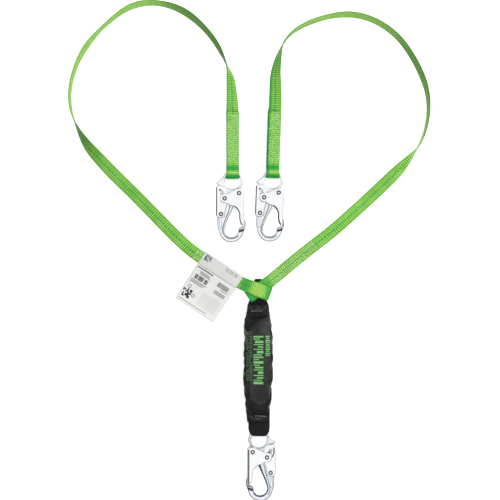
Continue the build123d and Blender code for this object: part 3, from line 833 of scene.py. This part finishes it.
def make_black_loops():
    """Top loop, gathered where it passes through the legs' loops, and bottom loop, in the hook's eye."""
    low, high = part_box("absorber_top_loop")
    middle_x = (low.x + high.x) / 2
    radius = (high.z - low.z) / 2 - WEB_THICKNESS / 2
    height = (high.z + low.z) / 2
    pack_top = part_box("absorber_cover")[1].y
    tail = high.y - pack_top + 0.030
    offsets = loop_offsets(radius, high.y - JUNCTION.y + 0.024, high.y - pack_top - 0.001, tail)
    line = [(middle_x, high.y - WEB_THICKNESS / 2 - reach, height + lift) for reach, lift in offsets]
    _, line, across = resample(soften(line, 4), 0.0015, [(1, 0, 0)] * len(line))
    reach = high.y - line[:, 1]
    widths = np.interp(reach, [0, 0.012, 0.040, 0.058, 0.1], [0.0150, 0.0155, 0.026, 0.0425, 0.0435])
    dishes = np.interp(reach, [0, 0.004, 0.035, 0.056], [0.0, 0.0014, 0.0012, 0.0])
    dishes *= np.where(line[:, 2] > height, 1, -1)
    line[:, 1] -= TOP_LOOP_DROP * np.interp(reach, [0, 0.03], [1, 0])
    top = strap_mesh("absorber_top_loop_strap", line, across, widths, dishes=dishes)
    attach(top, ROOT)
    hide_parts("absorber_top_loop")

    axis = Vector(joints["harness_hook_swing"]["pos_m"])
    bottom_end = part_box("absorber_cover")[0].y
    tail = bottom_end - axis.y + 0.030 + HOOK_LOOP_RADIUS
    offsets = loop_offsets(HOOK_LOOP_RADIUS, HOOK_LOOP_RADIUS + 0.004, bottom_end - axis.y + 0.010, tail)
    line = [(axis.x, axis.y - HOOK_LOOP_RADIUS + reach, axis.z + lift) for reach, lift in offsets]
    _, line, across = resample(soften(line, 4), 0.0015, [(1, 0, 0)] * len(line))
    reach = line[:, 1] - (axis.y - HOOK_LOOP_RADIUS)
    widths = np.interp(reach, [0, 0.002, 0.006, 0.011, 0.020, 0.1],
                       [0.027, 0.030, 0.037, 0.042, 0.044, 0.045])
    bottom = strap_mesh("absorber_bottom_loop_strap", line, across, widths)
    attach(bottom, ROOT)
    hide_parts("absorber_bottom_loop")
    for loop in (top, bottom):
        paint(loop, black_webbing_material())


# cover sections: metres down from its top end, width, height, middle height
COVER_SECTIONS = [(0.000, 0.0445, 0.0100, 0.0056), (0.010, 0.0460, 0.0110, 0.0062),
                  (0.017, 0.0470, 0.0140, 0.0076), (0.030, 0.0510, 0.0220, 0.0118),
                  (0.045, 0.0560, 0.0280, 0.0148), (0.080, 0.0575, 0.0315, 0.0165),
                  (0.150, 0.0575, 0.0315, 0.0165), (0.195, 0.0545, 0.0280, 0.0148),
                  (0.214, 0.0510, 0.0200, 0.0120), (0.228, 0.0480, 0.0140, 0.0105),
                  (0.236, 0.0465, 0.0120, 0.0100), (0.2445, 0.0460, 0.0115, 0.0100)]
COVER_LENGTH = COVER_SECTIONS[-1][0]
CORNER_POWER = 0.52


def cover_point(along, angle):
    """A point of the cover's outline: a rounded box section at a distance down from the top end."""
    low, high = cover_box
    places, *rest = np.transpose(COVER_SECTIONS)
    width, height, middle = (np.interp(along, places, values) for values in rest)
    x = width / 2 * np.sign(cos(angle)) * abs(cos(angle)) ** CORNER_POWER
    z = height / 2 * np.sign(sin(angle)) * abs(sin(angle)) ** CORNER_POWER
    return Vector(((low.x + high.x) / 2 + x, high.y - along, middle + z))


def inflate(obj, pinned, pressure, frames, cap):
    """Cloth under pressure with the pinned points held; no point moves further than cap."""
    before = np.array([v.co for v in obj.data.vertices])
    group = obj.vertex_groups.new(name="pin")
    for index, weight in pinned.items():
        group.add([index], weight, "REPLACE")
    cloth = obj.modifiers.new("cloth", "CLOTH")
    fabric = {"vertex_group_mass": "pin", "use_pressure": True, "uniform_pressure_force": pressure,
              "quality": 8, "mass": 0.25, "tension_stiffness": 25, "compression_stiffness": 25,
              "bending_stiffness": 0.08, "shrink_min": -0.055}
    for key, value in fabric.items():
        setattr(cloth.settings, key, value)
    cloth.settings.effector_weights.gravity = 0
    cloth.point_cache.frame_end = frames
    for number in range(1, frames + 1):
        bpy.context.scene.frame_set(number)
    evaluated = obj.evaluated_get(bpy.context.evaluated_depsgraph_get())
    move = np.array([v.co for v in evaluated.data.vertices]) - before
    obj.modifiers.remove(cloth)
    bpy.context.scene.frame_set(1)
    size = np.linalg.norm(move, axis=1, keepdims=True)
    after = before + move * np.minimum(1, cap / np.maximum(size, 1e-9))
    after[:, 2] = np.maximum(after[:, 2], FLOOR_GAP)
    obj.data.vertices.foreach_set("co", after.ravel())
    obj.data.update()


def make_cover():
    """The black cover: a sewn tube round the folded webbing, flat at both ends."""
    rings, sides = 76, 56
    sewn_end, under = 0.017, -0.75
    verts, pinned = [], {}
    for k in range(rings):
        along = COVER_LENGTH * k / (rings - 1)
        for j in range(sides):
            angle = 2 * pi * j / sides
            ripple = 0.0007 * noise.noise((along * 70, cos(angle) * 2, sin(angle) * 2))
            verts.append(cover_point(along, angle) + Vector((cos(angle), 0, sin(angle))) * ripple)
            if min(along, COVER_LENGTH - along) < sewn_end:
                pinned[k * sides + j] = 1.0
            elif sin(angle) < under:
                pinned[k * sides + j] = 0.6
    last = (rings - 1) * sides
    faces = tube_quads(rings, sides) + [tuple(range(sides)), tuple(range(last, last + sides))[::-1]]
    cover = new_object("absorber_cover_fabric", verts, faces)
    inflate(cover, pinned, pressure=2.2, frames=22, cap=0.006)
    mesh = bmesh.new()
    mesh.from_mesh(cover.data)
    bmesh.ops.recalc_face_normals(mesh, faces=mesh.faces)
    mesh.to_mesh(cover.data)
    mesh.free()
    smooth = cover.modifiers.new("smooth", "SUBSURF")
    smooth.levels = smooth.render_levels = 1
    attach(cover, ROOT)
    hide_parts("absorber_cover")
    paint(cover, cover_material("coated_nylon", (6, 7, 6), (20, 22, 20)))
    return cover


def draped_panel(name, tree, top, bottom, left, right, lift, cells=(22, 44)):
    """A piece of fabric sewn down by its edges. top and bottom give y across it, left and right give x
    down it, each as values at even shares."""
    border, sunk = 0.035, 0.0006

    def shares(count):
        return np.r_[0, 0.012, border, np.linspace(0.08, 0.92, count), 1 - border, 0.988, 1]

    def at(values, share):
        return np.interp(share, np.linspace(0, 1, len(values)), values)

    across, down = (shares(count) for count in cells)
    verts = []
    for v in down:
        for u in across:
            x = at(left, v) + (at(right, v) - at(left, v)) * u
            y = at(top, u) + (at(bottom, u) - at(top, u)) * v
            edge = min(u / border, (1 - u) / border, v / border, (1 - v) / border, 1)
            ripple = 0.0007 * noise.noise((x * 55, y * 70, 2.2)) * edge
            point = drape_on(tree, x, y, (lift + sunk) * edge ** 0.5 - sunk + ripple)
            verts.append(point if point is not None else Vector((x, y, cover_box[0].z + 0.008)))
    return new_object(name, verts, [quad[:1] + quad[:0:-1] for quad in sheet_quads(len(down), len(across))])


def draped_patches(name, tree, boxes, lift, step=0.0025):
    """Thin printed patches laid on a surface. Each box is (x, y, width, height)."""
    verts, faces = [], []
    for x, y, width, height in boxes:
        columns, rows = max(1, ceil(width / step)), max(1, ceil(height / step))
        spots = [[(x + width * (i / columns - 0.5), y + height * (j / rows - 0.5)) for j in range(rows + 1)]
                 for i in range(columns + 1)]
        lay_grid(tree, spots, lift, verts, faces)
    return new_object(name, verts, faces)


# the cover's flaps and front panel: the lines of their top, bottom, left and right edges, in metres across
# from the middle and down from the top end, or up from the bottom end where below 0; then lift and cells
COVER_PANELS = {
    "absorber_cover_top_flap": ([0.0012] * 3, [0.0115, 0.0125, 0.0112], [-0.0185, -0.0128], [0.0180, 0.0105],
                                0.0011, (10, 8)),
    "absorber_cover_front": ([0.0480, 0.0370, 0.0300, 0.0275, 0.0265],
                             [0.1930, 0.2020, 0.2080, 0.2030, 0.1900],
                             [-0.0160, -0.0185, -0.0185, -0.0170], [0.0235, 0.0262, 0.0262, 0.0250], 0.0013),
    "absorber_cover_bottom_flap": ([0.2270, 0.2300, 0.2250], [-0.0008] * 3, [-0.0200, -0.0185],
                                   [0.0200, 0.0190], 0.0010, (10, 8))}
# folds of the end flaps, measured the same way
FLAP_FOLDS = [[(-0.0178, 0.0035), (-0.0120, 0.0125), (0.0105, 0.0115), (0.0172, 0.0030)],
              [(-0.0030, 0.0125), (0.0010, 0.0050), (0.0060, 0.0118)],
              [(-0.0188, -0.0135), (-0.0085, -0.0062), (0.0050, -0.0056), (0.0178, -0.0118)],
              [(-0.0060, -0.0125), (0.0000, -0.0062), (0.0075, -0.0120)]]
# end stitches: where down from the top or up from the bottom, from and to across, and how far they slope
END_STITCHES = [(0.0145, -0.0145, 0.0090, 0.0), (-0.0132, -0.0070, 0.0167, -0.0012)]
PRINT_TOP = 0.0640


def cover_y(down):
    """The y of a distance down from the cover's top end, or up from its bottom end where below 0."""
    low, high = cover_box
    return high.y - down if down > 0 else low.y - down


def cover_bars():
    """Generic bars in place of the maker's lettering, as (x, y, width, height)."""
    middle = (cover_box[0].x + cover_box[1].x) / 2
    widest, gap, small_gap = 0.0200, 0.0021, 0.0019
    bars = []
    place = cover_y(PRINT_TOP)
    for k in range(19):
        height = (0.0034, 0.0021, 0.0050, 0.0021)[k % 4]
        wide = (widest, 0.0130, 0.0170, widest, 0.0110)[k % 5]
        bars.append((middle + 0.0005 + (widest - wide) / 2 * (-1) ** k, place - height / 2, wide, height))
        place -= height + gap
    place = cover_y(PRINT_TOP)
    for k in range(10):
        height = (0.0030, 0.0019)[k % 2]
        bars.append((middle + 0.0195, place - height / 2, (0.0095, 0.0070, 0.0095)[k % 3], height))
        place -= height + small_gap
    return bars


def cover_fine_lines():
    """Short broken lines in place of the small print beside the bars."""
    lines = []
    for k in range(34):
        for column in range(3):
            share = noise.noise((k * 0.7, column * 3.0, 1.7))
            if share > -0.35:
                lines.append((cover_box[0].x + 0.0075 + 0.0042 * column, cover_y(0.056) - 0.0030 * k,
                              0.0034 + 0.0006 * share, 0.0011))
    return lines


def decorate_cover(cover):
    """The sewn-on panels, the generic print, the folds of the flaps and the stitches across both ends."""
    middle = (cover_box[0].x + cover_box[1].x) / 2
    bare = surface_tree(cover)
    # the front panel's nylon has lighter tones than the rest of the cover
    rubbed = cover_material("rubbed_nylon", (26, 28, 27), (50, 52, 51))
    panels = []
    for name, (top, bottom, left, right, lift, *cells) in COVER_PANELS.items():
        edges = [[cover_y(down) for down in top], [cover_y(down) for down in bottom],
                 [middle + x for x in left], [middle + x for x in right]]
        panel = draped_panel(name, bare, *edges, lift, *cells)
        paint(panel, rubbed if name.endswith("front") else cover.data.materials[0])
        panels.append(panel)
    tree = surface_tree(cover, *panels)

    bars = draped_patches("cover_print_bars", tree, cover_bars(), 0.00035)
    paint(bars, print_and_shade_material("green_print", (112, 186, 104), (72, 128, 66)))
    small = draped_patches("cover_print_lines", tree, cover_fine_lines(), 0.00030)
    paint(small, print_and_shade_material("fine_green_print", (72, 128, 66), (44, 70, 42)))

    folds = []
    for outline in FLAP_FOLDS:
        ends = [Vector((middle + x, cover_y(y), 0)) for x, y in outline]
        for start, end in zip(ends, ends[1:]):
            points = [drape_on(tree, *start.lerp(end, k / 8).xy, 0.0001) for k in range(9)]
            if None not in points:
                folds.append(points)
    creases = thread_object("cover_flap_folds", folds, 0.00055)
    paint(creases, print_and_shade_material("fold_nylon", (74, 77, 76), (44, 46, 45)))

    count, lift, dip = 12, 0.0003, Vector((0, 0, 0.0005))
    threads = []
    for down, start, end, slope in END_STITCHES:
        for k in range(count):
            reaches = [(k + share) / count for share in (0.1, 0.78)]
            ends = [drape_on(tree, middle + start + (end - start) * reach, cover_y(down) + slope * reach,
                             lift) for reach in reaches]
            if None not in ends:
                centre = (ends[0] + ends[1]) / 2 + Vector((0, 0, lift))
                threads.append([ends[0] - dip, centre, ends[1] - dip])
    stitches = thread_object("cover_end_stitching", threads, 0.00045)
    paint(stitches, print_and_shade_material("pale_thread", (170, 172, 170), (120, 122, 120)))
    for piece in (*panels, bars, small, creases, stitches):
        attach(piece, ROOT)


# ---------------------------------------------------------------- label

# the label lies square to its stretch of the left leg: the directions along the sleeve and out over the panel
LABEL_TURN = radians(-33.3)
ALONG = Vector((cos(LABEL_TURN), sin(LABEL_TURN), 0))
DOWN = Vector((sin(LABEL_TURN), -cos(LABEL_TURN), 0))
LABEL_LENGTH = 0.094
LEG_BEND, FROM_BEND = Vector((0.01713, 0.10823, 0.0095)), 0.001
SLEEVE_END = LEG_BEND - ALONG * FROM_BEND
SLEEVE_HALF, SLEEVE_RISE, SLEEVE_PRINT_LIFT = 0.0152, 0.0036, 0.00045
VINYL = 0.0007


def make_sleeve():
    """The vinyl sleeve round the left leg, open at both ends, and the marks printed on it."""
    sides, rows = 24, 24
    sections = []
    for k in range(sides):
        angle = 2 * pi * k / sides
        sections.append((SLEEVE_HALF * np.sign(cos(angle)) * abs(cos(angle)) ** 0.35,
                         SLEEVE_RISE * np.sign(sin(angle)) * abs(sin(angle)) ** 0.55))
    verts = []
    for inset in (0.0, VINYL):
        for r in range(rows + 1):
            back = LABEL_LENGTH * r / rows
            for x, z in sections:
                wave = 0.00035 * noise.noise((back * 40, x * 60, z * 60))
                verts.append(SLEEVE_END - ALONG * back + DOWN * x * (1 - inset / SLEEVE_HALF)
                             + Vector((0, 0, z * (1 - inset / SLEEVE_RISE) + wave)))
    inner = (rows + 1) * sides
    faces = tube_quads(rows + 1, sides) + [quad[::-1] for quad in tube_quads(rows + 1, sides, inner)]
    for row in (0, rows):
        for j in range(sides):
            a, b = row * sides + j, row * sides + (j + 1) % sides
            faces.append((a, a + inner, b + inner, b) if row == 0 else (b, b + inner, a + inner, a))
    sleeve = new_object("label_sleeve_vinyl", verts, faces)
    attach(sleeve, ROOT)
    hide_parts("label_sleeve")
    paint(sleeve, label_material("sleeve_vinyl", (184, 186, 184), (196, 197, 194)))

    # marks as (back from the far end, across, length, width)
    marks = [(0.006, 0.012 - 0.0034 * k, 0.0034, 0.0022) for k in range(4)]
    marks += [(0.006 + 0.0036 * (k % 4), 0.0116 - 0.0032 * (k // 4), 0.0027, 0.0026)
              for k in range(16) if k % 5]
    marks += [(0.056 + 0.010 * (k % 3), 0.0095 - 0.0040 * (k // 3), 0.0080, 0.0009) for k in range(6)]
    corners = []
    for back, side, length, width in marks:
        for a, b in ((0, 0), (1, 0), (1, 1), (0, 1)):
            spot = SLEEVE_END - ALONG * (LABEL_LENGTH - back - length * a) - DOWN * (side - width * b)
            corners.append(spot + Vector((0, 0, SLEEVE_RISE + SLEEVE_PRINT_LIFT)))
    code = loose_quads("label_sleeve_print", corners)
    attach(code, ROOT)
    paint(code, print_and_shade_material("sleeve_print", (60, 63, 66), (104, 106, 109)))


def make_panel():
    """The vinyl panel that hangs from the sleeve's edge, and its print."""
    hinge = Vector(joints["label_fold"]["pos_m"])
    reach, drop, thickness = 0.084, hinge.z - 0.0012, 0.0006

    def panel_point(u, v, lift=0.0):
        """u runs along the sleeve from -0.5 to 0.5, v out from the hinge from 0 to 1."""
        fall = drop * (1 - (1 - v) ** 2.1)
        curl = 0.0016 * (v ** 2) * (2 * u) ** 2 + 0.0008 * noise.noise((u * 3.1, v * 2.7, 0.6)) * v
        height = max(hinge.z - fall + curl, 0.0009)
        return (hinge + ALONG * (u * LABEL_LENGTH) + DOWN * (v * reach)
                + Vector((0, 0, height - hinge.z + lift)))

    columns, rows = 28, 26
    verts = [panel_point(c / columns - 0.5, r / rows, lift)
             for lift in (0.0, thickness) for r in range(rows + 1) for c in range(columns + 1)]
    block = (rows + 1) * (columns + 1)
    faces = []
    for quad in sheet_quads(rows + 1, columns + 1):
        faces += [quad[::-1], tuple(i + block for i in quad)]
    rim = [*range(columns), *(r * (columns + 1) + columns for r in range(rows)),
           *(rows * (columns + 1) + c for c in range(columns, 0, -1)),
           *(r * (columns + 1) for r in range(rows, 0, -1))]
    faces += [(a, b, b + block, a + block) for a, b in zip(rim, rim[1:] + rim[:1])]
    panel = new_object("label_panel_vinyl", verts, faces, smooth=False)
    panel.data.polygons.foreach_set("use_smooth", [abs(p.normal.z) > 0.5 for p in panel.data.polygons])
    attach(panel, "label")
    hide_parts("label_panel")
    paint(panel, label_material("panel_vinyl", (202, 204, 201), (213, 214, 209)))
    print_panel(panel_point)


def print_panel(point):
    """Generic marks: bars for lines of text, blocks for the code and symbols. Places and sizes are shares of
    the panel."""
    grey, dark = [], []
    widest, lift = 0.03, 0.00078

    def text_line(out, u, v, width, height, seed, chunk=0.03):
        place, k = u, 0
        while place < u + width:
            size = chunk * (0.6 + 0.8 * (noise.noise((k * 1.3, seed * 2.1, v * 9)) + 0.5))
            size = max(min(size, u + width - place), 0.004)
            out.append((place + size / 2, v, size, height))
            place += size + 0.005
            k += 1

    text_line(dark, -0.46, 0.035, 0.40, 0.030, 1)
    for k in range(3):
        text_line(grey, -0.36 + 0.02 * k, 0.105 + 0.032 * k, 0.26, 0.016, 2 + k)
    for k in range(4):
        for column, (start, width) in enumerate(((-0.40, 0.07), (-0.31, 0.12), (-0.16, 0.08))):
            text_line(dark if (k + column) % 2 else grey, start, 0.225 + 0.030 * k, width, 0.026,
                      9 + k + 3 * column)
    for k in range(3):
        text_line(grey, -0.44, 0.368 + 0.032 * k, 0.38 - 0.03 * k, 0.016, 20 + k)
    for k in range(3):
        text_line(dark, 0.12, 0.10 + 0.040 * k, 0.27, 0.024, 30 + k, 0.035)
    text_line(grey, 0.24, 0.235, 0.16, 0.016, 37)
    for k in range(3):
        text_line(grey, 0.14, 0.310 + 0.034 * k, 0.26, 0.018, 40 + k)
    for k in range(8):
        text_line(grey, -0.06, 0.52 + 0.045 * k, 0.46, 0.0045, 50 + k, 0.05)
    text_line(grey, -0.46, 0.925, 0.72, 0.014, 60, 0.04)
    for row in range(7):
        for column in range(7):
            if noise.noise((row * 1.9, column * 2.3, 5.5)) > -0.08:
                dark.append((-0.450 + 0.0300 * column, 0.635 + 0.0335 * row, 0.0300, 0.0335))
    for k in range(20):
        angle = 2 * pi * k / 20
        for u, v in ((-0.375, 0.560), (-0.195, 0.720)):
            grey.append((u + 0.034 * cos(angle), v + 0.038 * sin(angle), 0.012, 0.013))
    for out, name, colour, worn in ((grey, "label_print_grey", (56, 59, 62), (100, 103, 106)),
                                    (dark, "label_print_dark", (8, 9, 11), (38, 40, 43))):
        corners = []
        for u, v, width, height in out:
            columns = max(1, ceil(width / widest))
            for c in range(columns):
                left, right = (u + width * (edge / columns - 0.5) for edge in (c, c + 1))
                corners += [point(a, v + b * height / 2, lift)
                            for a, b in ((left, -1), (right, -1), (right, 1), (left, 1))]
        marks = loose_quads(name, corners)
        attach(marks, "label")
        paint(marks, print_and_shade_material(name, colour, worn))


# ---------------------------------------------------------------- studio

# lights: name, place from the lanyard's middle, size and power
LIGHTS = [("key", (1.6, 1.1, 1.6), 1.3, 34), ("fill", (-1.6, 0.6, 2.2), 1.6, 12),
          ("low", (0.2, -1.9, 1.9), 1.2, 8)]
FLOOR_REACH = 40


def make_studio():
    """A pale floor, a surround that is dark low down and bright overhead, and three soft lights."""
    corners = [(x * FLOOR_REACH, y * FLOOR_REACH, 0) for x, y in ((-1, -1), (1, -1), (1, 1), (-1, 1))]
    floor = loose_quads("floor", corners)
    n = Nodes("floor_paper")
    n.set(Base_Color=(0.97, 0.97, 0.97, 1), Roughness=0.9, Specular_IOR_Level=0.1,
          Emission_Color=(1, 1, 1, 1), Emission_Strength=0.34)
    paint(floor, n.material)
    world = bpy.data.worlds.new("surround")
    bpy.context.scene.world = world
    world.use_nodes = True
    tree = world.node_tree
    split = tree.nodes.new("ShaderNodeSeparateXYZ")
    ramp = tree.nodes.new("ShaderNodeMapRange")
    tree.links.new(tree.nodes.new("ShaderNodeTexCoord").outputs["Generated"], split.inputs[0])
    tree.links.new(split.outputs[2], ramp.inputs[0])
    for socket, value in zip(list(ramp.inputs)[1:5], (0.10, 0.55, 0.05, 0.96)):
        socket.default_value = value
    tree.links.new(ramp.outputs[0], tree.nodes["Background"].inputs[1])
    tree.nodes["Background"].inputs[0].default_value = (1, 1, 1, 1)
    middle = (cad_box[0] + cad_box[1]) / 2
    for name, offset, size, power in LIGHTS:
        data = bpy.data.lights.new(name, "AREA")
        data.size = size
        data.energy = power
        light = add_to_scene(name, data)
        light.location = middle + Vector(offset)
        light.rotation_mode = "QUATERNION"
        light.rotation_quaternion = Vector(offset).to_track_quat("Z", "Y")
    bpy.context.scene.view_settings.view_transform = "Standard"


# ---------------------------------------------------------------- the whole

make_camera()
make_leg("left", LEFT_ROUTE, LEFT_LEAN, LEFT_DUSK)
make_leg("right", RIGHT_ROUTE, RIGHT_LEAN, RIGHT_DUSK)
make_black_loops()
decorate_cover(make_cover())
make_sleeve()
make_panel()
paint_hooks()
mark_hooks()
paint(frame["nodes"]["absorber_tear_webbing"], black_webbing_material())
make_studio()
